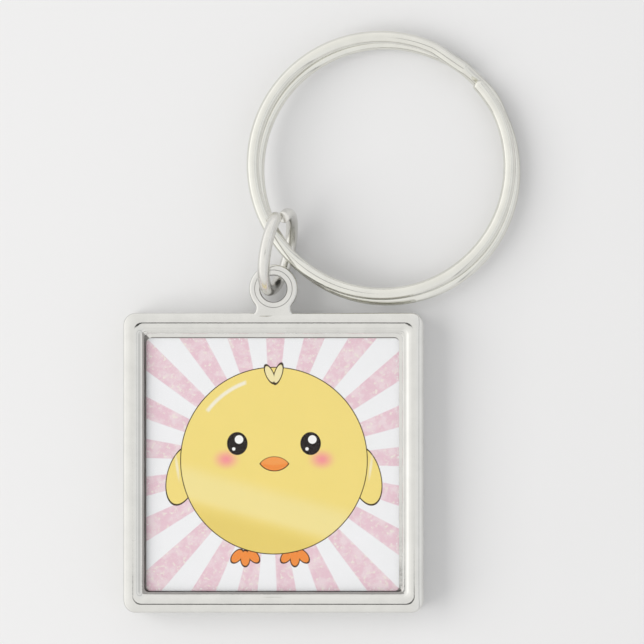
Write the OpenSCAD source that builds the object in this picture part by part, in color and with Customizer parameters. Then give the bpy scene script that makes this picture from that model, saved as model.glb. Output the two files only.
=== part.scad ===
// Square photo keychain lying on its back: a cast frame with a glued photo insert, a link through
// the frame's eye, and a two-turn split ring. Origin: centre of the frame's back face, +Z out of
// the picture, +Y towards the eye. Millimetres.

/* [Frame] */
// Side of the square frame
frame_side = 35; // [32:0.5:40]
// Depth of the frame from its back face to the crown of its rails
frame_depth = 4.8; // [4.7:0.1:5.6]
// Radius of the four outer corners
corner_r = 1.45; // [1.4:0.05:1.8]
// Width of each rail, from the outer edge to the wall of the recess
rail_w = 2.45; // [2.4:0.05:3]
// Radius of the crown's arc across a rail
crown_r = 1.6; // [1.5:0.05:2]
// Distance from the outer edge to the top of the crown
crown_x = 1.2; // [1.1:0.05:1.25]
// Radius that rounds the front outer edge
edge_r = 0.65; // [0.5:0.05:0.75]
// Radius that rounds the back outer edge
back_edge_r = 0.4; // [0.2:0.05:0.6]
// Height of the recess floor above the back face
floor_z = 2.5; // [1.8:0.05:2.55]
// Radius of the recess's four corners
recess_corner_r = 0.5; // [0.3:0.05:0.8]

/* [Eye] */
// Distance of the eye's centre from the top edge of the frame
eye_gap = 2.8; // [2.6:0.05:3]
// Outer radius of the eye
eye_r = 2.85; // [2.75:0.05:3]
// Radius of the hole in the eye
eye_hole_r = 1.55; // [1.45:0.05:1.6]
// Radius that rounds the edges of the eye and its hole
eye_round = 0.5; // [0.3:0.05:0.55]
// Thickness of the eye
eye_t = 2; // [1.8:0.1:2.1]
// Height of the eye's front face above the back of the frame
eye_top = 4.6; // [4.5:0.05:4.7]
// Width of the eye's neck where it is narrowest
neck_w = 4.1; // [4:0.05:4.2]
// Radius of the hollow on each side of the neck
neck_hollow_r = 0.8; // [0.7:0.05:0.85]

/* [Insert] */
// Gap between the insert and the recess wall, when centred
insert_gap = 0.3; // [0.25:0.01:0.35]
// Shift of the glued insert along X
insert_x = -0.1; // [-0.2:0.01:0.2]
// Shift of the glued insert along Y
insert_y = -0.22; // [-0.24:0.01:0.24]
// Thickness of the double-sided adhesive pad
adhesive_t = 0.2; // [0.1:0.05:0.3]
// Thickness of the white plate that carries the print
plate_t = 0.8; // [0.5:0.1:0.9]
// Thickness of the printed sheet
print_t = 0.15; // [0.1:0.05:0.2]
// Thickness of the clear gloss cover
cover_t = 0.3; // [0.2:0.05:0.4]

/* [Link] */
// Diameter of the link, to the middle of its wire
link_d = 9.1; // [9:0.05:9.2]
// Diameter of the link's wire
link_wire = 1.4; // [1.2:0.05:1.45]
// Direction in which the link leaves the eye, from +X
link_dir = 78; // [77:0.5:79]
// Lean of the link from upright, to its left
link_lean = 14; // [12:0.5:15]
// Distance of the link's centre from the eye's centre, along its direction
link_reach = 4.3; // [4.1:0.05:4.35]
// Shift of the link's centre to the left of that direction
link_side = 0.4; // [0.3:0.05:0.45]
// Height of the link's centre
link_z = 5.15; // [5.15:0.05:5.25]
// Width of the cut between the two ends of the link's wire
link_cut = 0.12; // [0.05:0.01:0.2]
// Direction of that cut round the link, upward from its far side
link_cut_dir = 30; // [20:1:40]
// Sideways distance between the two ends, as the link is bent slightly open
link_twist = 0.8; // [0.4:0.05:0.9]

/* [Split ring] */
// Radius of each turn, to the middle of its wire
turn_r = 15.05; // [15:0.05:15.1]
// Width of the flattened wire, across the ring
wire_w = 1.45; // [1.2:0.05:1.5]
// Height of the flattened wire
wire_h = 1.3; // [1.1:0.05:1.3]
// Gap between the two turns
turn_gap = 0.05; // [0.04:0.01:0.08]
// Sideways shift of each turn from the ring's centre
turn_shift = 0.45; // [0.3:0.05:0.5]
// Direction in which the lower turn is shifted, from +X
shift_dir = -40; // [-45:1:-35]
// Distance of the ring's centre from the frame's centre, along X
ring_x = 12.95; // [12.9:0.05:13]
// Distance of the ring's centre from the frame's centre, along Y
ring_y = 34.45; // [34.4:0.05:34.6]
// Height of the ring's middle where it passes through the link
ring_lift = 3.7; // [3.6:0.05:3.75]
// Direction of the crimp, where the wire steps from one turn to the other, from +X
crimp_dir = 45.8; // [30:0.2:60]
// Half the angle that the step takes
step_half = 4; // [3.6:0.1:4]
// Angle between the middle of the step and each end of the wire
end_half = 4.2; // [4.1:0.1:5]
// Distance that the wire bulges in and out beside the step
step_bulge = 0.22; // [0.1:0.01:0.3]

/* [Hidden] */

metal = [0.80, 0.79, 0.76];
fine = 64;                        // segments of a large round
overlap = 0.02;                   // how far joined shapes run into each other

half = frame_side / 2;
eye_y = half + eye_gap;
recess_side = frame_side - 2 * rail_w;
insert_side = recess_side - 2 * insert_gap;

// Points of a rail's section: x runs inward from the outer edge, y is height
crown_y = frame_depth - crown_r;
edge_y = crown_y + sqrt(pow(crown_r - edge_r, 2) - pow(crown_x - edge_r, 2));
meet_k = crown_r / (crown_r - edge_r);
meet = [crown_x + (edge_r - crown_x) * meet_k, crown_y + (edge_y - crown_y) * meet_k];
crown_end = [corner_r + 0.2, frame_depth];
shelf = [rail_w - 0.3, crown_end[1] - 0.5];
lip = [rail_w, shelf[1] - 0.2];

// Link placement
link_along = [cos(link_dir), sin(link_dir)];
link_left = [-sin(link_dir), cos(link_dir)];
link_xy = [0, eye_y] + link_along * link_reach + link_left * link_side;
link_centre = [link_xy[0], link_xy[1], link_z];
link_forward = [link_along[0], link_along[1], 0];
link_up = [link_left[0] * sin(link_lean), link_left[1] * sin(link_lean), cos(link_lean)];
link_across = cross(link_forward, link_up);
link_cut_angle = link_cut / (PI * link_d) * 360;
link_rows = 80;

// Point where the middle of the ring crosses the plane of the link
ring_xy = [ring_x, ring_y];
line_xy = link_xy + link_left * (ring_lift - link_z) * tan(link_lean);
to_ring = ring_xy - line_xy;
reach = to_ring * link_along;
pass_xy = line_xy + link_along * (reach - sqrt(pow(reach, 2) - to_ring * to_ring + pow(turn_r, 2)));
pass = [pass_xy[0], pass_xy[1], ring_lift];
out_dir = (pass_xy - ring_xy) / turn_r;
ring_h = 2 * wire_h + turn_gap;
ring_tilt = asin((ring_lift - ring_h / 2) / (2 * turn_r + wire_w / 2));

// Split ring path: one angle runs from the lower end, through the step, to the upper end
turn_z = (wire_h + turn_gap) / 2;
path_start = crimp_dir + end_half;
path_step = crimp_dir + 360;
path_end = crimp_dir + 720 - end_half;
bulge_span = 20;
tip_span = 2;
section_n = 16;
path_angles = concat(
    [for (a = [0:0.25:tip_span]) path_start + a],
    [for (a = [path_start + tip_span + 4:5:path_step - 8]) a],
    [for (a = [-6:0.75:6]) path_step + a],
    [for (a = [path_step + 10:5:path_end - tip_span - 2]) a],
    [for (a = [tip_span:-0.25:0]) path_end - a]);

// Smooth step from 0 to 1
function ease(u) = let (v = max(0, min(1, u))) v * v * (3 - 2 * v);
// Share of the way from the lower turn to the upper one
function climb(a) = ease((a - path_step + step_half) / (2 * step_half));
// Radial bulge beside the crimp: out on the lower turn, in on the upper one
function bulge(a) =
    let (x = a - path_step)
    let (near_start = 1 - ease((a - path_start) / bulge_span))
    let (near_end = ease((a - path_end + bulge_span) / bulge_span))
    let (wave = abs(x) < bulge_span ? sin(180 * x / bulge_span) : 0)
    step_bulge * (near_start - near_end - wave);
// Scale of the wire's section, which rounds both ends
function tip_scale(a) =
    let (d = min(a - path_start, path_end - a) / tip_span)
    d >= 1 ? 1 : sqrt(1 - pow(1 - d, 2) * 0.94);
// One point of the wire's rounded section: x across the ring, y up
function section_point(i) =
    let (c = cos(360 * i / section_n), s = sin(360 * i / section_n))
    [wire_w / 2 * sign(c) * pow(abs(c), 0.8), wire_h / 2 * sign(s) * pow(abs(s), 0.8)];
// The same point carried to an angle of the path
function wire_point(a, i) =
    let (p = section_point(i) * tip_scale(a), up = climb(a))
    let (r = turn_r + bulge(a) + p[0])
    let (shift = turn_shift * (1 - 2 * up))
    [r * cos(a) + shift * cos(shift_dir), r * sin(a) + shift * sin(shift_dir),
        turn_z * (2 * up - 1) + p[1]];

// One point of the link's round wire: t from 0 to 1 along it, i round it
function link_point(t, i) =
    let (a = link_cut_dir + link_cut_angle / 2 + t * (360 - link_cut_angle))
    let (s = 360 * i / section_n, r = link_d / 2 + link_wire / 2 * cos(s))
    link_centre + link_forward * r * cos(a) + link_up * r * sin(a)
        + link_across * (link_wire / 2 * sin(s) + link_twist * (t - 0.5));
// Faces that join rows of section points into a closed wire
function wire_faces(rows) = concat(
    [for (k = [0:rows - 2], i = [0:section_n - 1])
        let (j = (i + 1) % section_n, low = k * section_n, high = low + section_n)
        [low + i, high + i, high + j, low + j]],
    [[for (i = [0:section_n - 1]) i]],
    [[for (i = [section_n - 1:-1:0]) (rows - 1) * section_n + i]]);

// Cross-section of a rail, from its outer edge at x = 0
module rail_section() {
    translate([back_edge_r, back_edge_r]) circle(r = back_edge_r, $fn = fine);
    translate([edge_r, edge_y]) circle(r = edge_r, $fn = fine);
    intersection() {
        translate([crown_x, crown_y]) circle(r = crown_r, $fn = 2 * fine);
        translate([meet[0], crown_y]) square([crown_x - meet[0], crown_r]);
    }
    polygon([[back_edge_r, 0], [rail_w, 0], lip, shelf, crown_end, [crown_x, frame_depth],
        [crown_x, crown_y], meet, [0, edge_y], [0, back_edge_r]]);
}

// One straight rail along the top side, between two corners
module rail() {
    length = frame_side - 2 * corner_r;
    translate([-length / 2, half, 0]) rotate([90, 0, 90])
        linear_extrude(length) mirror([1, 0]) rail_section();
}

// The rounded corner at the end of that rail
module rail_corner() {
    translate([half - corner_r, half - corner_r, 0]) rotate_extrude(angle = 90, $fn = fine)
        intersection() {
            translate([corner_r, 0]) mirror([1, 0]) rail_section();
            square([corner_r, frame_depth]);
        }
}

// Small fillet that rounds one corner of the recess
module recess_fillet() {
    translate([recess_side / 2 - recess_corner_r, recess_side / 2 - recess_corner_r, floor_z - overlap])
        difference() {
            cube([recess_corner_r + overlap, recess_corner_r + overlap, lip[1] - floor_z + overlap]);
            translate([0, 0, -overlap]) cylinder(r = recess_corner_r, h = frame_depth, $fn = fine);
        }
}

// Half-section of the eye's ring: a bar with all four edges rounded
module eye_section() {
    bar_w = eye_r - eye_hole_r;
    translate([eye_hole_r, 0]) {
        translate([eye_round, 0]) square([bar_w - 2 * eye_round, eye_t]);
        translate([0, eye_round]) square([bar_w, eye_t - 2 * eye_round]);
        for (x = [eye_round, bar_w - eye_round], y = [eye_round, eye_t - eye_round])
            translate([x, y]) circle(r = eye_round, $fn = fine);
    }
}

// Neck that joins the eye to the frame, hollowed at both sides
module neck() {
    root_w = eye_r * 0.85;
    root_y = half - corner_r / 2;
    hollow_x = neck_w / 2 + neck_hollow_r;
    hollow_y = eye_y - eye_r * 0.8;
    linear_extrude(eye_t) difference() {
        translate([-root_w, root_y]) square([2 * root_w, eye_y - eye_r * 0.62 - root_y]);
        translate([0, eye_y]) circle(r = (eye_r + eye_hole_r) / 2, $fn = fine);
        for (side = [-1, 1])
            translate([side * hollow_x, hollow_y]) circle(r = neck_hollow_r, $fn = fine);
    }
}

module frame() {
    color(metal) {
        for (turn = [0:3]) rotate([0, 0, 90 * turn]) {
            rail();
            rail_corner();
            recess_fillet();
        }
        translate([-recess_side / 2 - overlap, -recess_side / 2 - overlap, 0])
            cube([recess_side + 2 * overlap, recess_side + 2 * overlap, floor_z]);
        translate([0, 0, eye_top - eye_t]) {
            translate([0, eye_y, 0]) rotate_extrude($fn = fine) eye_section();
            neck();
        }
    }
}

// One square layer of the insert, with rounded corners
module layer(bottom, thickness) {
    r = recess_corner_r;
    side = insert_side - 2 * r;
    translate([insert_x, insert_y, bottom]) {
        translate([-side / 2, -insert_side / 2, 0]) cube([side, insert_side, thickness]);
        translate([-insert_side / 2, -side / 2, 0]) cube([insert_side, side, thickness]);
        for (x = [-side / 2, side / 2], y = [-side / 2, side / 2])
            translate([x, y, 0]) cylinder(r = r, h = thickness, $fn = fine);
    }
}

module adhesive_pad() {
    color([0.93, 0.91, 0.84]) layer(floor_z, adhesive_t);
}

module insert_plate() {
    color("white") layer(floor_z + adhesive_t, plate_t);
}

module printed_sheet() {
    color([0.95, 0.87, 0.70]) layer(floor_z + adhesive_t + plate_t, print_t);
}

module clear_cover() {
    color([0.92, 0.96, 1.0, 0.35]) layer(floor_z + adhesive_t + plate_t + print_t, cover_t);
}

// Round wire ring, bent slightly open at its cut
module jump_ring() {
    points = [for (k = [0:link_rows], i = [0:section_n - 1]) link_point(k / link_rows, i)];
    color(metal) polyhedron(points = points, faces = wire_faces(link_rows + 1), convexity = 6);
}

// Two flat turns of one flattened wire, joined by a short step
module split_ring() {
    points = [for (a = path_angles, i = [0:section_n - 1]) wire_point(a, i)];
    color(metal) translate(pass) rotate(a = -ring_tilt, v = [-out_dir[1], out_dir[0], 0])
        translate([ring_x - pass[0], ring_y - pass[1], 0])
            polyhedron(points = points, faces = wire_faces(len(path_angles)), convexity = 6);
}

frame();
adhesive_pad();
insert_plate();
printed_sheet();
clear_cover();
jump_ring();
split_ring();
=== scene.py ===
"""Square photo keychain: cast frame with a printed insert, wire link and split ring."""

import math

import bmesh
import bpy
import numpy as np
from mathutils import Matrix, Vector


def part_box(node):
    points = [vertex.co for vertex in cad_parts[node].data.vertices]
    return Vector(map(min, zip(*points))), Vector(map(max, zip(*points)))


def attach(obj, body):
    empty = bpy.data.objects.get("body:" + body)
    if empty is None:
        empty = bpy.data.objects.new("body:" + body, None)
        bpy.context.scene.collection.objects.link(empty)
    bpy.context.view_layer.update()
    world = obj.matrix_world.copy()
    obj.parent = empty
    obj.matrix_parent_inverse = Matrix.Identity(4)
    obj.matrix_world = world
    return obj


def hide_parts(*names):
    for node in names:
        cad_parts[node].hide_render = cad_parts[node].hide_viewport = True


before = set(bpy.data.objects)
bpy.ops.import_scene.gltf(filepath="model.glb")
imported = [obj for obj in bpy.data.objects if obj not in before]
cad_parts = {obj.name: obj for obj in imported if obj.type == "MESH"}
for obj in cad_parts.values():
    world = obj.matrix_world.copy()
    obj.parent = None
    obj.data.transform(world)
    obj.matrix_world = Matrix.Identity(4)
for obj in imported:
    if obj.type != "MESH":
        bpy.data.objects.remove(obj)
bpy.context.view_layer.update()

MM = 0.001
HAIR = 0.01                                  # air between the insert's layers, millimetres
CORNER_STEPS = 10                            # divisions of a rounded square's corner, and of its side
SIDE_STEPS = 24
CUT_SIDE_STEPS = 96                          # divisions of a side whose cut edge is rough

# ---------------------------------------------------------------- sizes taken from the CAD frame
frame_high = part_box("frame")[1]
HALF = frame_high.x / MM                     # half the side of the square frame
DEPTH = frame_high.z / MM                    # back face to crown
COVER_LOW, COVER_HIGH = (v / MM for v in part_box("clear_cover"))
SHEET_LOW, SHEET_HIGH = (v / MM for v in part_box("printed_sheet"))
PLATE_LOW, PLATE_HIGH = (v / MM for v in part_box("insert_plate"))
INSERT_MIDDLE = (SHEET_LOW + SHEET_HIGH) / 2  # the insert is glued in slightly off the centre
INSERT_HALF = (SHEET_HIGH.x - SHEET_LOW.x) / 2
FLOOR_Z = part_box("adhesive_pad")[0].z / MM   # recess floor
EYE_R = 2.85
EYE_Y = frame_high.y / MM - EYE_R            # centre of the eye

# ---------------------------------------------------------------- eye and neck (millimetres)
EYE_TOP = 4.6
EYE_THICK = 2.0
EYE_HOLE_R = 1.55
EYE_ROUNDING = 0.38
GROOVE_R = 2.185                             # middle of the groove round the hole
# Profiles by the hole: distance from the hole's wall or the groove's middle, and distance from the face
LOWER_RIM = ((0.75, 0), (0.40, 0.06), (0.15, 0.22), (0.03, 0.5), (0, 0.8))
UPPER_RIM = ((0, 0.8), (0, 0.12), (0.015, 0.07), (0.05, 0.03), (0.095, 0.008), (0.13, 0), (0.16, 0))
GROOVE_SIDE = ((0.075, 0), (0.045, 0), (0.03, 0.01), (0.015, 0.08))
HOLE_STEPS = 72
NECK_ROOT = Vector((2.42, HALF - 0.95))      # right corner of the neck, sunk into the rail
HOLLOW = Vector((2.85, EYE_Y - 2.28))        # centre of the hollow on the neck's right
HOLLOW_R = 0.8
HOLLOW_START = 235                           # where its arc starts, degrees
SHADE_SKIN = 0.01                             # how far below the eye's face a face under painted shade lies at least
HOLE_SHADE = 0.09                             # how far out of the hole's wall the painted shade reaches
GROOVE_SHADE = 0.035                          # half the width of the painted shade in the groove
GROOVE_DEPTH = 0.2                           # the groove's painted shade lies on no face deeper than this

# ---------------------------------------------------------------- frame casting (millimetres)
RAIL_W = 2.45                                # outer edge to recess wall
BACK_R = 0.4                                 # rounding of the back edge
EDGE_R = 0.42                                # rounding of the outer edge, under the crown
CROWN_R = 1.6
CROWN_X = 1.1                                # inset of the crown's highest line
# Tilt of the rail's inner side in degrees, at insets from the outer edge: crown, slope, shelf, lip
INNER_TILTS = ((1.1, 0), (1.2, 5), (1.35, 8), (1.5, 18), (1.6, 26), (1.7, 34), (1.85, 45), (2.0, 36),
               (2.1, 14), (2.14, 0), (2.32, 0), (2.36, 24), (2.41, 52), (2.45, 75))
TILT_STEP = 0.025
SIDE_LEVELS = (1.2, 2.4, 3.4)                # heights that divide the outer side
WALL_LEVELS = (3.6, 3.0)                     # heights that divide the recess wall
LIP_DROP = 0.06                              # the lip's inner edge to the top of the wall
LIP_X = 2.20                                 # where the painted shade on the lip starts, on the left and below
RIM_X = 2.85                                 # how far the polish reaches on the right and above, where the painted shade starts
SHADE_LOW, SHADE_HIGH = 0.5, DEPTH - 0.4       # heights between which the recess can carry painted shade
OUTER_CORNER_R = 1.45
INNER_CORNER_R = 0.5

# ---------------------------------------------------------------- insert (millimetres)
FLAT_INSET = 0.6                             # a layer's edge to the flat of its top
LEAST_CORNER_R = 0.05
CUT_REACH = 0.5                              # how far in a rough cut edge is felt

# ---------------------------------------------------------------- link (millimetres, degrees)
LINK_R = 4.55                                # centre to the middle of its wire
LINK_WIRE_R = 0.7
LINK_DIR = math.radians(78)                  # its plane's direction, seen from above
LINK_LEAN = math.radians(14)                 # how far its plane leans to the left
LINK_REACH = 4.3                             # the eye's centre to its own, forward and to the left
LINK_SIDE = 0.4
LINK_Z = 5.15
LINK_CUT = 0.12                              # width of the gap at its cut
LINK_CUT_DIR = 30.0                          # where the cut is, from forward to up
LINK_CHAMFER = 0.1
CHAMFER_FIRST, CHAMFER_LEFT = 0.35, 0.03     # a point on the chamfer: share of its length, depth left
LINK_TWIST = 0.8                             # how far the two ends stand apart sideways
LINK_STEPS, LINK_WIRE_STEPS = 150, 28

# ---------------------------------------------------------------- split ring (millimetres, degrees)
RING_XY = Vector((12.95, 34.45))
RING_LIFT = 3.7                              # height of the ring's middle where it passes the link
TURN_R = 15.05
WIRE_W = 1.45
WIRE_H = 1.3
RING_WIRE_STEPS = 32
WIDTH_POWER = 1.05                           # 1 for an ellipse, larger for a more pointed section
HEIGHT_POWER = 1.3
TURN_GAP = 0.05
TURN_SHIFT = 0.45                            # how far each turn lies off the ring's centre
SHIFT_DIR = math.radians(-40)
CRIMP_DIR = 45.8                             # where the wire steps from the lower turn to the upper
STEP_HALF = 4.0                              # half the step's length
END_HALF = 4.2                               # each wire end to the middle of the crimp
STEP_BULGE = 0.22                            # how far the wire bends in or out by the crimp
BULGE_SPAN = 20.0
TIP_SPAN = 2.0                               # length of the rounding at a wire's end
TIP_STEPS = 13
TIP_CLOSE = 0.94                             # 1 would close the wire's end to a point
COARSE_STEP, FINE_STEP = 1.5, 0.4            # between sections along the wire, and near the crimp
FINE_HALF = 8                                # half the stretch with fine steps


# ================================================================ mesh helpers
def arc(cx, cy, r, start, end, steps):
    """Points of an arc, angles in degrees."""
    angles = np.radians(np.linspace(start, end, steps + 1))
    return [(cx + r * math.cos(a), cy + r * math.sin(a)) for a in angles]


def finish_mesh(bm, name, body, material, node, sharp):
    """Turns a bmesh in millimetres into a shaded piece that rides on a body in place of a CAD node."""
    bmesh.ops.remove_doubles(bm, verts=bm.verts, dist=1e-5)
    bmesh.ops.recalc_face_normals(bm, faces=bm.faces)
    bm.transform(Matrix.Scale(MM, 4))
    mesh = bpy.data.meshes.new(name)
    bm.to_mesh(mesh)
    bm.free()
    mesh.shade_smooth()
    mesh.set_sharp_from_angle(angle=math.radians(sharp))
    obj = bpy.data.objects.new(name, mesh)
    bpy.context.scene.collection.objects.link(obj)
    mesh.materials.append(material)
    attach(obj, body)
    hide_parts(node)
    return obj


def bridge(bm, loops, capped=True):
    """Skins a list of vertex loops of the same length, and caps both ends if asked."""
    rows = [[bm.verts.new(p) for p in loop] for loop in loops]
    n = len(rows[0])
    for a, b in zip(rows, rows[1:]):
        for i in range(n):
            j = (i + 1) % n
            bm.faces.new((a[i], a[j], b[j], b[i]))
    if capped:
        bm.faces.new(list(reversed(rows[0])))
        bm.faces.new(rows[-1])
    return rows


def square_loop(half, radius, z, side_steps=SIDE_STEPS):
    """Points of a rounded square, counter-clockwise, with divided sides."""
    points = []
    for quarter in range(4):
        turn = math.radians(90 * quarter)
        c, s = math.cos(turn), math.sin(turn)
        local = arc(half - radius, half - radius, radius, 0, 90, CORNER_STEPS)
        span = half - radius
        local += [(span - 2 * span * k / side_steps, half) for k in range(1, side_steps)]
        points += [(x * c - y * s, x * s + y * c, z) for x, y in local]
    return points


def join(target, other):
    """Joins the other object's solid to target and removes the other object."""
    mod = target.modifiers.new("join", "BOOLEAN")
    mod.operation = "UNION"
    mod.solver = "MANIFOLD"
    mod.object = other
    bpy.context.view_layer.update()
    graph = bpy.context.evaluated_depsgraph_get()
    mesh = bpy.data.meshes.new_from_object(target.evaluated_get(graph))
    target.modifiers.clear()
    target.data = mesh
    bpy.data.objects.remove(other)


def plain_object(bm, name):
    """Turns a bmesh into an object without changing its units."""
    bmesh.ops.recalc_face_normals(bm, faces=bm.faces)
    mesh = bpy.data.meshes.new(name)
    bm.to_mesh(mesh)
    bm.free()
    obj = bpy.data.objects.new(name, mesh)
    bpy.context.scene.collection.objects.link(obj)
    return obj


# ================================================================ frame casting
def rail_section():
    """Section of a rail: inset from the outer edge, and height."""
    rise = math.sqrt((CROWN_R - EDGE_R) ** 2 - (CROWN_X - EDGE_R) ** 2)
    meet = math.degrees(math.atan2(rise, EDGE_R - CROWN_X))
    edge_y = DEPTH - CROWN_R + rise
    points = list(arc(BACK_R, BACK_R, BACK_R, 270, 180, 5))
    points += [(0, z) for z in SIDE_LEVELS]
    points += arc(EDGE_R, edge_y, EDGE_R, 180, meet, 10)
    points += arc(CROWN_X, DEPTH - CROWN_R, CROWN_R, meet, 90, 18)[1:]
    insets, tilts = zip(*INNER_TILTS)
    x, z = CROWN_X, DEPTH
    while x + TILT_STEP < RAIL_W - 0.01:
        z -= TILT_STEP * math.tan(math.radians(np.interp(x + TILT_STEP / 2, insets, tilts)))
        x += TILT_STEP
        points.append((x, z))
    points += [(RAIL_W, level) for level in (z - LIP_DROP, *WALL_LEVELS, FLOOR_Z)]
    return points + [(RIM_X, FLOOR_Z)]


def frame_body():
    """The square frame with its recess, without the eye."""
    bm = bmesh.new()
    loops = []
    for inset, z in rail_section():
        share = min(1.0, inset / RAIL_W)
        radius = OUTER_CORNER_R + (INNER_CORNER_R - OUTER_CORNER_R) * share
        loops.append(square_loop(HALF - inset, radius, z))
    bridge(bm, loops)
    return plain_object(bm, "body_blank")


def eye_outline(inset):
    """Outline of the eye and its flared neck, moved inward by inset."""
    tangent = math.degrees(math.atan2(HOLLOW.y - EYE_Y, HOLLOW.x))
    right = [(NECK_ROOT.x - inset, NECK_ROOT.y + inset)]
    right += arc(HOLLOW.x, HOLLOW.y, HOLLOW_R + inset, HOLLOW_START, 180 + tangent, 10)
    head = arc(0, EYE_Y, EYE_R - inset, tangent, 180 - tangent, 60)
    left = [(-x, y) for x, y in reversed(right)]
    return right + head[1:-1] + left


def eye_blank():
    """Solid of the eye and its neck with rounded edges, a rimmed hole and a groove round it."""
    bm = bmesh.new()
    low, high = EYE_TOP - EYE_THICK, EYE_TOP
    rounding = [(EYE_ROUNDING * (1 - math.sin(t)), EYE_ROUNDING * (1 - math.cos(t)))
                for t in np.radians(np.linspace(0, 90, 7))]
    outer = [(d, low + h) for d, h in rounding]
    outer += [(d, high - h) for d, h in reversed(rounding)]
    outer += [(EYE_ROUNDING + 0.03, high)]
    rows = bridge(bm, [[(x, y, z) for x, y in eye_outline(d)] for d, z in outer], False)
    rim = [(EYE_HOLE_R + d, low + h) for d, h in LOWER_RIM]
    rim += [(EYE_HOLE_R + d, high - h) for d, h in UPPER_RIM]
    rim += [(GROOVE_R - d, high - h) for d, h in GROOVE_SIDE]
    rim += [(GROOVE_R + d, high - h) for d, h in reversed(GROOVE_SIDE)]
    angles = np.radians(np.linspace(0, 360, HOLE_STEPS + 1))[:-1]
    hole = [[bm.verts.new((r * math.cos(a), EYE_Y + r * math.sin(a), z)) for a in angles] for r, z in rim]
    for a, b in zip(hole, hole[1:]):
        for i in range(HOLE_STEPS):
            j = (i + 1) % HOLE_STEPS
            bm.faces.new((a[i], b[i], b[j], a[j]))
    for outline, circle in ((rows[0], hole[0]), (rows[-1], hole[-1])):
        edges = []
        for loop in (outline, circle):
            for i, v in enumerate(loop):
                edges.append(bm.edges.get((v, loop[(i + 1) % len(loop)])))
        bmesh.ops.triangle_fill(bm, edges=edges, use_beauty=True)
    return plain_object(bm, "eye_blank")


def is_painted_shade(point):
    """True where shade is painted with dark metal: in the recess, on its lip at the left and below, in
    the eye's hole and in its groove.
    """
    inset = HALF - max(abs(point.x), abs(point.y))
    start = RIM_X if max(point.x, point.y) > max(-point.x, -point.y) else LIP_X
    in_recess = inset > start and SHADE_LOW < point.z < SHADE_HIGH
    from_eye = math.hypot(point.x, point.y - EYE_Y)
    below_face = point.z < EYE_TOP - SHADE_SKIN
    in_hole = from_eye < EYE_HOLE_R + HOLE_SHADE
    in_groove = abs(from_eye - GROOVE_R) < GROOVE_SHADE and EYE_TOP - GROOVE_DEPTH < point.z
    return in_recess or (below_face and (in_hole or in_groove))


def build_frame(polished, painted_shade_metal):
    """The casting: frame and eye as one solid, with the faces that carry painted shade in a second, dark
    material.
    """
    body = frame_body()
    join(body, eye_blank())
    bm = bmesh.new()
    bm.from_mesh(body.data)
    bpy.data.objects.remove(body)
    for face in bm.faces:
        # Faces in the recess, on the lip at the left and below, and in the eye's hole and groove get the
        # dark metal of painted shade
        face.material_index = int(is_painted_shade(face.calc_center_median()))
    casting = finish_mesh(bm, "frame_casting", "charm", polished, "frame", sharp=20)
    casting.data.materials.append(painted_shade_metal)
    return casting


# ================================================================ insert
def build_layer(name, low, high, material, node, edge_roll, wobble=0.0):
    """A thin square layer with a rolled top edge; wobble roughens its cut edge."""
    bm = bmesh.new()
    rng = np.random.default_rng(7)
    profile = [(0.0, low), (0.0, high - edge_roll)]
    profile += [(edge_roll * (1 - math.cos(t)), high - edge_roll * (1 - math.sin(t)))
                for t in np.radians((30, 60, 90))]
    profile += [(FLAT_INSET, high)]
    side_steps = CUT_SIDE_STEPS if wobble else SIDE_STEPS
    count = 4 * (CORNER_STEPS + side_steps)
    cut = np.convolve(rng.uniform(-1, 1, count + 8), np.ones(3) / 3, "same")[4:-4] * wobble
    loops = []
    for inset, z in profile:
        corner = max(INNER_CORNER_R - inset, LEAST_CORNER_R)
        loop = square_loop(INSERT_HALF - inset, corner, z, side_steps)
        fade = max(0.0, 1 - inset / CUT_REACH)
        scales = [1 - abs(depth) * fade / INSERT_HALF for depth in cut]
        loops.append([(INSERT_MIDDLE.x + x * k, INSERT_MIDDLE.y + y * k, height)
                      for (x, y, height), k in zip(loop, scales)])
    bridge(bm, loops)
    return finish_mesh(bm, name, "charm", material, node, sharp=40)


# ================================================================ link
def link_frame():
    """Centre of the link, and its forward, up and sideways directions."""
    forward = Vector((math.cos(LINK_DIR), math.sin(LINK_DIR), 0))
    left = Vector((-forward.y, forward.x, 0))
    centre = Vector((0, EYE_Y, LINK_Z)) + forward * LINK_REACH + left * LINK_SIDE
    up = left * math.sin(LINK_LEAN) + Vector((0, 0, math.cos(LINK_LEAN)))
    return centre, forward, up, forward.cross(up)


def build_link(material):
    """Round wire bent into a ring that stands slightly open at its cut."""
    bm = bmesh.new()
    centre, forward, up, across = link_frame()
    per_mm = 360 / (2 * math.pi * LINK_R)
    span = 360 - LINK_CUT * per_mm
    chamfer = LINK_CHAMFER * per_mm
    ends = [(0, LINK_WIRE_R - LINK_CHAMFER), (chamfer * CHAMFER_FIRST, LINK_WIRE_R - CHAMFER_LEFT),
            (chamfer, LINK_WIRE_R)]
    middle = np.linspace(chamfer, span - chamfer, LINK_STEPS)[1:-1]
    round_wire = [2 * math.pi * k / LINK_WIRE_STEPS for k in range(LINK_WIRE_STEPS)]
    stations = ends + [(a, LINK_WIRE_R) for a in middle] + [(span - a, r) for a, r in reversed(ends)]
    loops = []
    for a, r in stations:
        t = math.radians(LINK_CUT_DIR + LINK_CUT * per_mm / 2 + a)
        outward = forward * math.cos(t) + up * math.sin(t)
        middle_point = centre + outward * LINK_R + across * LINK_TWIST * (a / span - 0.5)
        loops.append([middle_point + outward * r * math.cos(s) + across * r * math.sin(s)
                      for s in round_wire])
    bridge(bm, loops)
    return finish_mesh(bm, "jump_ring_wire", "link", material, "jump_ring", sharp=40)


# ================================================================ split ring
def ease(u):
    """Smooth rise from 0 to 1 as u goes from 0 to 1."""
    v = min(1.0, max(0.0, u))
    return v * v * (3 - 2 * v)


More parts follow.
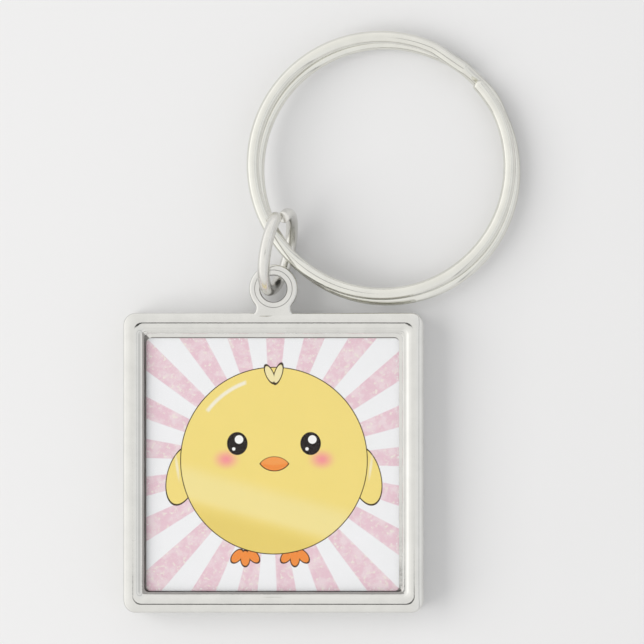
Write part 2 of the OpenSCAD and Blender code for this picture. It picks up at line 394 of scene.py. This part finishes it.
def ring_place():
    """Matrix that lays the split ring from its own centre through the link."""
    centre, forward = link_frame()[:2]
    left = Vector((-forward.y, forward.x, 0))
    line = centre + left * (RING_LIFT - LINK_Z) * math.tan(LINK_LEAN)
    to_ring = RING_XY - Vector(line[:2])
    along = Vector(forward[:2])
    reach = to_ring.dot(along)
    chord = math.sqrt(reach ** 2 - to_ring.dot(to_ring) + TURN_R ** 2)
    passing = Vector(line[:2]) + along * (reach - chord)
    out = (passing - RING_XY) / TURN_R
    tilt = math.asin((RING_LIFT - (2 * WIRE_H + TURN_GAP) / 2) / (2 * TURN_R + WIRE_W / 2))
    return (Matrix.Translation((passing.x, passing.y, RING_LIFT))
            @ Matrix.Rotation(-tilt, 4, Vector((-out.y, out.x, 0)))
            @ Matrix.Translation((RING_XY.x - passing.x, RING_XY.y - passing.y, 0)))


def build_split_ring(material):
    """Two flat turns of one flattened wire that step past each other at the crimp."""
    start, step, end = CRIMP_DIR + END_HALF, CRIMP_DIR + 360, CRIMP_DIR + 720 - END_HALF
    tip = np.linspace(0, TIP_SPAN, TIP_STEPS)
    lower_turn = np.arange(start + TIP_SPAN + COARSE_STEP, step - FINE_HALF - 1, COARSE_STEP)
    crimp = np.arange(step - FINE_HALF, step + FINE_HALF + 0.01, FINE_STEP)
    upper_turn = np.arange(step + FINE_HALF + 1, end - TIP_SPAN - 1, COARSE_STEP)
    angles = [*(start + tip), *lower_turn, *crimp, *upper_turn, *(end - tip[::-1])]
    place = ring_place()
    turn_z = (WIRE_H + TURN_GAP) / 2
    loops = []
    for a in angles:
        x = a - step
        up = ease((x + STEP_HALF) / (2 * STEP_HALF))
        near_start = 1 - ease((a - start) / BULGE_SPAN)
        near_end = ease((a - end + BULGE_SPAN) / BULGE_SPAN)
        wave = math.sin(math.pi * x / BULGE_SPAN) if abs(x) < BULGE_SPAN else 0
        bulge = STEP_BULGE * (near_start - near_end - wave)
        d = min(a - start, end - a) / TIP_SPAN
        scale = 1 if d >= 1 else math.sqrt(1 - (1 - d) ** 2 * TIP_CLOSE)
        shift = TURN_SHIFT * (1 - 2 * up)
        t = math.radians(a)
        ring = []
        for k in range(RING_WIRE_STEPS):
            s = 2 * math.pi * k / RING_WIRE_STEPS
            c, z = math.cos(s), math.sin(s)
            px = WIRE_W / 2 * math.copysign(abs(c) ** WIDTH_POWER, c) * scale
            pz = WIRE_H / 2 * math.copysign(abs(z) ** HEIGHT_POWER, z) * scale
            r = TURN_R + bulge + px
            ring.append(place @ Vector((
                r * math.cos(t) + shift * math.cos(SHIFT_DIR),
                r * math.sin(t) + shift * math.sin(SHIFT_DIR),
                turn_z * (2 * up - 1) + pz)))
        loops.append(ring)
    bm = bmesh.new()
    bridge(bm, loops)
    return finish_mesh(bm, "split_ring_wire", "ring", material, "split_ring", sharp=50)


# ================================================================ node helpers
def add_node(tree, kind, **values):
    """A node of a kind; values set its properties."""
    node = tree.nodes.new(kind)
    for key, value in values.items():
        setattr(node, key, value)
    return node


def put(tree, socket, value):
    """Links a socket to a socket, or stores a constant in it."""
    if isinstance(value, bpy.types.NodeSocket):
        tree.links.new(value, socket)
    elif value is not None:
        socket.default_value = value


def calc(tree, operation, a, b=None, c=None):
    """The result of a math operation on up to three values or sockets."""
    node = add_node(tree, "ShaderNodeMath", operation=operation)
    for socket, value in zip(node.inputs, (a, b, c)):
        put(tree, socket, value)
    return node.outputs[0]


def blend_colour(tree, amount, a, b):
    """Colour a where the amount is 0, b where it is 1."""
    node = add_node(tree, "ShaderNodeMix", data_type="RGBA")
    put(tree, node.inputs[0], amount)
    put(tree, node.inputs[6], a)
    put(tree, node.inputs[7], b)
    return node.outputs[2]


def mix_value(tree, amount, a, b):
    """Value a where the amount is 0, b where it is 1."""
    node = add_node(tree, "ShaderNodeMix", data_type="FLOAT")
    put(tree, node.inputs[0], amount)
    put(tree, node.inputs[2], a)
    put(tree, node.inputs[3], b)
    return node.outputs[0]


def step_up(tree, value, low, high):
    """0 below low, 1 above high; low may be larger than high to turn it round."""
    node = add_node(tree, "ShaderNodeMapRange", interpolation_type="SMOOTHSTEP")
    put(tree, node.inputs[0], value)
    put(tree, node.inputs[1], low)
    put(tree, node.inputs[2], high)
    put(tree, node.inputs[3], 0.0)
    put(tree, node.inputs[4], 1.0)
    return node.outputs[0]


def noise(tree, vector, scale, detail=3.0, rough=0.5):
    """Cloudy noise about 0.5."""
    node = add_node(tree, "ShaderNodeTexNoise")
    put(tree, node.inputs["Vector"], vector)
    node.inputs["Scale"].default_value = scale
    node.inputs["Detail"].default_value = detail
    node.inputs["Roughness"].default_value = rough
    return node.outputs["Fac"]


def new_material(name):
    """A material with its tree, its shader and the place on the object."""
    mat = bpy.data.materials.new(name)
    mat.use_nodes = True
    tree = mat.node_tree
    shader = tree.nodes["Principled BSDF"]
    where = add_node(tree, "ShaderNodeTexCoord").outputs["Object"]
    return mat, tree, shader, where


def bump(tree, height, distance, strength=1.0, normal=None):
    """A normal bent by a height; distance is the height's size in metres."""
    node = add_node(tree, "ShaderNodeBump")
    node.inputs["Strength"].default_value = strength
    node.inputs["Distance"].default_value = distance
    put(tree, node.inputs["Height"], height)
    put(tree, node.inputs["Normal"], normal)
    return node.outputs["Normal"]


# ================================================================ materials
def metal_material(name, tint, rough, wave, grain, scratches):
    """Bright plated metal with a wavy cast surface, fine grain and faint scratches."""
    mat, tree, shader, where = new_material(name)
    cloud = noise(tree, where, 420, 3)
    darker = [t * 0.955 for t in tint]
    colour = blend_colour(tree, step_up(tree, cloud, 0.35, 0.7), (*tint, 1), (*darker, 1))
    put(tree, shader.inputs["Base Color"], colour)
    shader.inputs["Metallic"].default_value = 1.0
    stretched = add_node(tree, "ShaderNodeMapping")
    stretched.inputs["Scale"].default_value = (1.0, 9.0, 4.0)
    stretched.inputs["Rotation"].default_value = (0.2, 0.3, 0.7)
    put(tree, stretched.inputs["Vector"], where)
    lines = step_up(tree, noise(tree, stretched.outputs[0], 900, 2), 0.62, 0.75)
    smudge = calc(tree, "MULTIPLY_ADD", noise(tree, where, 160, 4), 0.08, rough - 0.04)
    put(tree, shader.inputs["Roughness"], calc(tree, "MULTIPLY_ADD", lines, 0.08, smudge))
    first = bump(tree, noise(tree, where, 230, 1.5), wave)
    second = bump(tree, noise(tree, where, 3200, 2), grain, 1.0, first)
    third = bump(tree, lines, scratches, -1.0, second)
    put(tree, shader.inputs["Normal"], third)
    return mat


def paper_material():
    """White pressed board with a fibrous cut edge."""
    mat, tree, shader, where = new_material("white_board")
    fibre = noise(tree, where, 2600, 4, 0.6)
    put(tree, shader.inputs["Base Color"],
        blend_colour(tree, fibre, (0.86, 0.85, 0.83, 1), (0.70, 0.69, 0.66, 1)))
    shader.inputs["Roughness"].default_value = 0.75
    put(tree, shader.inputs["Normal"], bump(tree, fibre, 0.00004))
    return mat


def adhesive_material():
    """Milky double-sided foam tape."""
    mat, tree, shader, where = new_material("adhesive_foam")
    cells = noise(tree, where, 1800, 3)
    put(tree, shader.inputs["Base Color"],
        blend_colour(tree, cells, (0.80, 0.78, 0.70, 1), (0.66, 0.64, 0.56, 1)))
    shader.inputs["Roughness"].default_value = 0.6
    put(tree, shader.inputs["Normal"], bump(tree, cells, 0.00003))
    return mat


def cover_material():
    """Clear gloss film: see-through, with a mirror-like skin that strengthens at low angles."""
    mat, tree, shader, where = new_material("clear_film")
    tree.nodes.remove(shader)
    clear = add_node(tree, "ShaderNodeBsdfTransparent")
    put(tree, clear.inputs["Color"],
        blend_colour(tree, noise(tree, where, 300, 2), (0.99, 0.99, 0.99, 1), (0.975, 0.98, 0.975, 1)))
    skin = add_node(tree, "ShaderNodeBsdfAnisotropic")
    skin.inputs["Color"].default_value = (1.0, 1.0, 1.0, 1)
    put(tree, skin.inputs["Roughness"],
        calc(tree, "MULTIPLY_ADD", noise(tree, where, 900, 3), 0.05, 0.01))
    facing = add_node(tree, "ShaderNodeLayerWeight")
    facing.inputs["Blend"].default_value = 0.5
    grazing = calc(tree, "POWER", facing.outputs["Facing"], 5.0)
    mix = add_node(tree, "ShaderNodeMixShader")
    put(tree, mix.inputs[0], calc(tree, "MULTIPLY_ADD", grazing, 0.90, 0.006))
    put(tree, mix.inputs[1], clear.outputs[0])
    put(tree, mix.inputs[2], skin.outputs[0])
    put(tree, tree.nodes["Material Output"].inputs["Surface"], mix.outputs[0])
    return mat


# ---------------------------------------------------------------- printed picture
INK = (0.035, 0.02, 0.01, 1)
EYE_BLACK = (0.012, 0.008, 0.008, 1)
YELLOW = (0.91, 0.735, 0.235, 1)
YELLOW_LIGHT = (0.915, 0.79, 0.36, 1)
YELLOW_DEEP = (0.80, 0.62, 0.16, 1)
TUFT = (0.90, 0.80, 0.46, 1)
ORANGE = (0.90, 0.29, 0.06, 1)
ORANGE_LIGHT = (0.92, 0.37, 0.10, 1)
PINK = (0.82, 0.585, 0.665, 1)
PINK_PALE = (0.86, 0.70, 0.75, 1)
CREAM = (0.88, 0.80, 0.76, 1)
WHITE = (0.90, 0.90, 0.925, 1)
GLINT = (0.93, 0.93, 0.93, 1)
BLUSH = (0.93, 0.27, 0.36, 1)
RAY_COUNT = 21
RAYS_X, RAYS_Y = -0.15, 0.3                  # where the rays meet, millimetres
RAYS_TURN = 0.36                             # how far they are turned, in pairs of rays
LINE = 0.105                                 # width of an outline, millimetres
BODY_X, BODY_Y, BODY_R = 0.15, 0.45, 10.9    # the chick's body, millimetres


class Picture:
    """Paints flat shapes over one another, in millimetres from the sheet's centre."""

    def __init__(self, tree, where):
        self.tree = tree
        centred = add_node(tree, "ShaderNodeVectorMath", operation="SUBTRACT")
        put(tree, centred.inputs[0], where)
        centred.inputs[1].default_value = INSERT_MIDDLE * MM
        scaled = add_node(tree, "ShaderNodeVectorMath", operation="SCALE")
        put(tree, scaled.inputs[0], centred.outputs[0])
        scaled.inputs["Scale"].default_value = 1 / MM
        split = add_node(tree, "ShaderNodeSeparateXYZ")
        put(tree, split.inputs[0], scaled.outputs[0])
        self.x, self.y = split.outputs[0], split.outputs[1]
        self.where = scaled.outputs[0]
        self.colour = None

    def oval(self, cx, cy, rx, ry, turn=0.0):
        """Rough distance in millimetres to an oval's edge, negative inside."""
        t = self.tree
        c, s = math.cos(math.radians(turn)), math.sin(math.radians(turn))
        along = calc(t, "MULTIPLY_ADD", self.x, c, -cx * c - cy * s)
        across = calc(t, "MULTIPLY_ADD", self.y, c, cx * s - cy * c)
        u = calc(t, "DIVIDE", calc(t, "ADD", along, calc(t, "MULTIPLY", self.y, s)), rx)
        v = calc(t, "DIVIDE", calc(t, "ADD", across, calc(t, "MULTIPLY", self.x, -s)), ry)
        length = calc(t, "SQRT", calc(t, "ADD", calc(t, "MULTIPLY", u, u), calc(t, "MULTIPLY", v, v)))
        return calc(t, "MULTIPLY", calc(t, "SUBTRACT", length, 1.0), min(rx, ry))

    def either(self, *shapes):
        """Distance to the union of shapes."""
        result = shapes[0]
        for shape in shapes[1:]:
            result = calc(self.tree, "MINIMUM", result, shape)
        return result

    def both(self, a, b):
        """Distance to the overlap of two shapes."""
        return calc(self.tree, "MAXIMUM", a, b)

    def paint(self, shape, colour, soft=0.03, amount=1.0):
        """Fills a shape with a colour; soft is half the width of its blurred edge."""
        mask = step_up(self.tree, shape, soft, -soft)
        if amount != 1.0:
            mask = calc(self.tree, "MULTIPLY", mask, amount)
        self.colour = blend_colour(self.tree, mask, self.colour, colour)

    def outline(self, shape):
        """Draws an inked line along a shape's edge."""
        edge = calc(self.tree, "SUBTRACT", calc(self.tree, "ABSOLUTE", shape), LINE / 2)
        self.paint(edge, INK, 0.025)

    def shape(self, shape, colour):
        """A filled shape with its outline."""
        self.paint(shape, colour)
        self.outline(shape)


def paint_rays(picture):
    """Sunburst of pale pink rays with a mottled, washed print."""
    t = picture.tree
    angle = calc(t, "ARCTAN2", calc(t, "SUBTRACT", picture.y, RAYS_Y),
                 calc(t, "SUBTRACT", picture.x, RAYS_X))
    turn = calc(t, "MULTIPLY_ADD", angle, RAY_COUNT / (2 * math.pi), RAYS_TURN)
    wave = calc(t, "ABSOLUTE", calc(t, "SUBTRACT", calc(t, "FRACT", turn), 0.5))
    reach = calc(t, "SQRT", calc(t, "ADD", calc(t, "MULTIPLY", picture.x, picture.x),
                                 calc(t, "MULTIPLY", picture.y, picture.y)))
    period = calc(t, "MULTIPLY", reach, 2 * math.pi / RAY_COUNT)
    side = calc(t, "MULTIPLY", calc(t, "SUBTRACT", wave, 0.25), period)
    mottle = step_up(t, noise(t, picture.where, 0.75, 6, 0.62), 0.42, 0.62)
    pink = blend_colour(t, mottle, PINK, PINK_PALE)
    flecks = step_up(t, noise(t, picture.where, 1.7, 6, 0.72), 0.53, 0.64)
    pink = blend_colour(t, flecks, pink, CREAM)
    picture.colour = blend_colour(t, step_up(t, side, -0.06, 0.06), pink, WHITE)


def body_colour(picture):
    """Soft yellow, with a paler slanting band low on the body and a deeper tone under it."""
    t = picture.tree
    slant = calc(t, "MULTIPLY_ADD", picture.x, 0.28, picture.y)
    pale = calc(t, "MULTIPLY", step_up(t, slant, -2.0, -4.4), step_up(t, slant, -7.8, -6.0))
    deep = calc(t, "MULTIPLY", step_up(t, slant, -6.2, -8.6), 0.75)
    colour = blend_colour(t, calc(t, "MULTIPLY", pale, 0.8), YELLOW, YELLOW_LIGHT)
    return blend_colour(t, deep, colour, YELLOW_DEEP)


def paint_chick(picture):
    """A plain round yellow chick with short wings, seen from the front."""
    for side in (-1, 1):
        toes = [picture.oval(side * 2.9 - 0.3 + dx, -10.85 + dy, 0.55, 0.95, turn)
                for dx, dy, turn in ((-0.95, 0.15, -40), (0.0, -0.12, 0), (0.95, 0.15, 40))]
        picture.shape(picture.either(*toes), ORANGE)
    wings = [picture.oval(BODY_X + side * 10.7, -1.3, 1.75, 3.5, side * 15) for side in (-1, 1)]
    picture.shape(picture.either(*wings), YELLOW)
    body = picture.oval(BODY_X, BODY_Y, BODY_R, BODY_R)
    picture.paint(body, body_colour(picture))
    picture.outline(body)
    feathers = [picture.oval(-0.35, 10.55, 0.45, 1.15, 24), picture.oval(0.65, 10.6, 0.45, 1.25, -18)]
    picture.shape(picture.either(*feathers), TUFT)
    for side in (-1, 1):
        middle = BODY_X + side * 4.28
        picture.paint(picture.oval(middle + side * 1.3, 0.6, 0.95, 0.72), BLUSH, 0.75, 0.9)
        picture.paint(picture.oval(middle, 2.45, 1.2, 1.34), EYE_BLACK)
        picture.paint(picture.oval(middle + 0.2, 2.92, 0.5, 0.5), GLINT)
        picture.paint(picture.oval(middle - 0.42, 1.82, 0.2, 0.2), GLINT)
    beak = picture.both(picture.oval(0.2, 0.95, 1.95, 1.7), picture.oval(0.2, -0.75, 1.95, 1.65))
    picture.shape(beak, ORANGE)
    upper_beak = picture.both(beak, picture.oval(0.2, 1.2, 2.6, 1.25))
    picture.paint(upper_beak, ORANGE_LIGHT, 0.04, 0.8)
    inner_ring = calc(picture.tree, "ABSOLUTE", picture.oval(BODY_X, BODY_Y, 9.7, 9.7))
    glow = calc(picture.tree, "SUBTRACT", inner_ring, 0.2)
    picture.paint(picture.both(glow, picture.oval(-5.6, 8.3, 2.9, 1.7, 40)), GLINT, 0.14, 0.7)
    for side in (-1, 1):
        wing_glow = picture.oval(BODY_X + side * 11.3, -0.3, 0.14, 1.2, side * -8)
        picture.paint(wing_glow, GLINT, 0.12, 0.5)


def print_material():
    """Printed picture: paper with inks, and tiny white specks at the cut edge."""
    mat, tree, shader, where = new_material("picture_print")
    picture = Picture(tree, where)
    paint_rays(picture)
    paint_chick(picture)
    edge = calc(tree, "MAXIMUM", calc(tree, "ABSOLUTE", picture.x), calc(tree, "ABSOLUTE", picture.y))
    near = step_up(tree, edge, INSERT_HALF - 0.55, INSERT_HALF - 0.1)
    speck = step_up(tree, noise(tree, picture.where, 5.5, 2), 0.60, 0.66)
    worn = calc(tree, "MULTIPLY", near, speck)
    colour = blend_colour(tree, worn, picture.colour, GLINT)
    grain = calc(tree, "MULTIPLY_ADD", noise(tree, picture.where, 9.0, 2), 0.06, 0.965)
    tone = add_node(tree, "ShaderNodeVectorMath", operation="SCALE")
    put(tree, tone.inputs[0], colour)
    put(tree, tone.inputs["Scale"], grain)
    put(tree, shader.inputs["Base Color"], tone.outputs[0])
    shader.inputs["Roughness"].default_value = 0.45
    shader.inputs["Specular IOR Level"].default_value = 0.2
    put(tree, shader.inputs["Normal"], bump(tree, noise(tree, picture.where, 6.0, 3), 0.000004))
    return mat


# ================================================================ scene around the object
VIEW_X, VIEW_Y = 5.66, 16.42                 # middle of the view, millimetres
VIEW_WIDTH = 75.13                           # width of the view at VIEW_LEVEL
VIEW_LEVEL = 4.0
CAMERA_HEIGHT = 450.0
TENT_LEVEL = 0.69                            # the tent's light on matt surfaces
TOP_LEVEL = 0.97                             # the tent overhead, as polished metal mirrors it
MIDDLE_CHANGE = {"left": 0.15, "right": -0.03, "far": 0.03, "near": 0.0}
LOW_CHANGE = {"left": 0.27, "right": -0.24, "far": 0.03, "near": -0.05}
MIDDLE_TILT = (math.radians(8), math.radians(54))  # from overhead, where each change starts and ends
LOW_TILT = (math.radians(58), math.radians(84))
STRIP_Y, STRIP_DARK = -0.135, 0.97           # dark strip between the overhead panels
STRIP_WIDTH = (0.070, 0.055)                 # where its soft edges end and start, either side
STRIP_LENGTH = (0.13, 0.07)
SEAM_X, SEAM_SHARE = 0.656, 0.45             # fainter seam on the right, as a share of the strip's dark
SEAM_WIDTH = (0.035, 0.015)
KEY_SIZE = (0.9, 0.68)                       # key light, metres
KEY_WATTS = 5.1
KEY_AZIMUTH, KEY_ELEVATION, KEY_DISTANCE = math.radians(182), math.radians(39), 0.9
FLOOR_HALF = 1.5                             # metres
FLOOR_DROP = 0.00001                         # keeps the floor clear of the back, metres
SENSOR = 36.0


def build_floor():
    """Plain pale floor under the object."""
    bm = bmesh.new()
    corners = ((-1, -1), (1, -1), (1, 1), (-1, 1))
    bm.faces.new([bm.verts.new((x * FLOOR_HALF, y * FLOOR_HALF, 0)) for x, y in corners])
    mesh = bpy.data.meshes.new("floor")
    bm.to_mesh(mesh)
    bm.free()
    floor = bpy.data.objects.new("floor", mesh)
    bpy.context.scene.collection.objects.link(floor)
    floor.location.z = -FLOOR_DROP
    mat, tree, shader, where = new_material("floor_white")
    put(tree, shader.inputs["Base Color"],
        blend_colour(tree, noise(tree, where, 40, 2), (0.84, 0.84, 0.845, 1), (0.83, 0.83, 0.835, 1)))
    shader.inputs["Roughness"].default_value = 0.9
    shader.inputs["Specular IOR Level"].default_value = 0.1
    mesh.materials.append(mat)


def build_world():
    """Bright studio tent: brighter to the left, with thin dark gaps between its panels."""
    world = bpy.data.worlds.new("studio")
    bpy.context.scene.world = world
    world.use_nodes = True
    tree = world.node_tree
    background = tree.nodes["Background"]
    where = add_node(tree, "ShaderNodeTexCoord").outputs["Generated"]
    split = add_node(tree, "ShaderNodeSeparateXYZ")
    put(tree, split.inputs[0], where)
    x, y, z = split.outputs
    tilt = calc(tree, "ARCCOSINE", z)
    middle = step_up(tree, tilt, *MIDDLE_TILT)
    low = step_up(tree, tilt, *LOW_TILT)
    squares = {}
    for side, value in (("left", calc(tree, "MULTIPLY", x, -1.0)), ("right", x),
                        ("far", y), ("near", calc(tree, "MULTIPLY", y, -1.0))):
        part = calc(tree, "MAXIMUM", value, 0.0)
        squares[side] = calc(tree, "MULTIPLY", part, part)
    total = calc(tree, "MAXIMUM", calc(tree, "SUBTRACT", 1.0, calc(tree, "MULTIPLY", z, z)), 0.000001)
    level = TOP_LEVEL
    for side, square in squares.items():
        share = calc(tree, "DIVIDE", square, total)
        change = calc(tree, "MULTIPLY_ADD", middle, MIDDLE_CHANGE[side],
                      calc(tree, "MULTIPLY", low, LOW_CHANGE[side]))
        level = calc(tree, "ADD", level, calc(tree, "MULTIPLY", share, change))
    strip_y = step_up(tree, calc(tree, "ABSOLUTE", calc(tree, "SUBTRACT", y, STRIP_Y)), *STRIP_WIDTH)
    strip_x = step_up(tree, calc(tree, "ABSOLUTE", x), *STRIP_LENGTH)
    strip = calc(tree, "MULTIPLY", strip_y, strip_x)
    seam = step_up(tree, calc(tree, "ABSOLUTE", calc(tree, "SUBTRACT", x, SEAM_X)), *SEAM_WIDTH)
    dark = calc(tree, "MAXIMUM", strip, calc(tree, "MULTIPLY", seam, SEAM_SHARE))
    dark = calc(tree, "MULTIPLY", dark, step_up(tree, z, 0.0, 0.1))
    light = calc(tree, "SUBTRACT", 1.0, calc(tree, "MULTIPLY", dark, STRIP_DARK))
    level = calc(tree, "MULTIPLY", level, light)
    tint = blend_colour(tree, step_up(tree, x, 0.0, 0.7), (1.0, 0.995, 0.985, 1), (0.985, 0.99, 1.0, 1))
    put(tree, background.inputs["Color"], tint)
    matt = add_node(tree, "ShaderNodeLightPath").outputs["Is Diffuse Ray"]
    put(tree, background.inputs["Strength"], mix_value(tree, matt, level, TENT_LEVEL))


def build_light():
    """Large soft key light from the left, which the metal doesn't mirror."""
    data = bpy.data.lights.new("key", "AREA")
    data.shape = "RECTANGLE"
    data.size, data.size_y = KEY_SIZE
    data.energy = KEY_WATTS
    data.color = (1.0, 0.99, 0.97)
    light = bpy.data.objects.new("key", data)
    bpy.context.scene.collection.objects.link(light)
    light.visible_glossy = False
    target = Vector((VIEW_X * MM, VIEW_Y * MM, 0))
    offset = Vector((math.cos(KEY_AZIMUTH) * math.cos(KEY_ELEVATION),
                     math.sin(KEY_AZIMUTH) * math.cos(KEY_ELEVATION), math.sin(KEY_ELEVATION)))
    light.location = target + offset * KEY_DISTANCE
    light.rotation_mode = "QUATERNION"
    light.rotation_quaternion = offset.to_track_quat("Z", "Y")


def build_camera():
    """Camera straight above the object, far off, as in the photograph."""
    data = bpy.data.cameras.new("camera")
    data.sensor_width = SENSOR
    data.lens = SENSOR * (CAMERA_HEIGHT - VIEW_LEVEL) / VIEW_WIDTH
    data.dof.use_dof = False
    data.clip_start, data.clip_end = 0.01, 10.0
    camera = bpy.data.objects.new("camera", data)
    bpy.context.scene.collection.objects.link(camera)
    camera.location = Vector((VIEW_X, VIEW_Y, CAMERA_HEIGHT)) * MM
    bpy.context.scene.camera = camera


# ================================================================ build
cast = metal_material("cast_silver", (0.75, 0.745, 0.715),
                      rough=0.07, wave=0.000012, grain=0.0000012, scratches=0.000001)
# Rough metal, darkened to paint shade into the recess, onto the lip at the left and below, and into the
# eye's hole and groove
painted_shade_cast = metal_material("raw_cast_silver", (0.36, 0.35, 0.335),
                          rough=0.34, wave=0.00003, grain=0.000004, scratches=0.000002)
ring_steel = metal_material("ring_steel", (0.79, 0.785, 0.73),
                            rough=0.10, wave=0.000010, grain=0.000001, scratches=0.000001)
link_steel = metal_material("link_steel", (0.76, 0.75, 0.715),
                            rough=0.20, wave=0.000010, grain=0.000001, scratches=0.000001)

build_frame(cast, painted_shade_cast)
build_layer("insert_board", PLATE_LOW.z, PLATE_HIGH.z, paper_material(),
            "insert_plate", edge_roll=0.05, wobble=0.05)
build_layer("picture_sheet", SHEET_LOW.z + HAIR, SHEET_HIGH.z - HAIR, print_material(),
            "printed_sheet", edge_roll=0.01)
cover = build_layer("clear_film_cover", COVER_LOW.z + HAIR, COVER_HIGH.z,
                    cover_material(), "clear_cover", edge_roll=0.08)
cover.visible_shadow = False
build_link(link_steel)
build_split_ring(ring_steel)

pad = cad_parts["adhesive_pad"]
pad.data.materials.clear()
pad.data.materials.append(adhesive_material())

build_floor()
build_world()
build_light()
build_camera()
bpy.context.scene.view_settings.view_transform = "Standard"
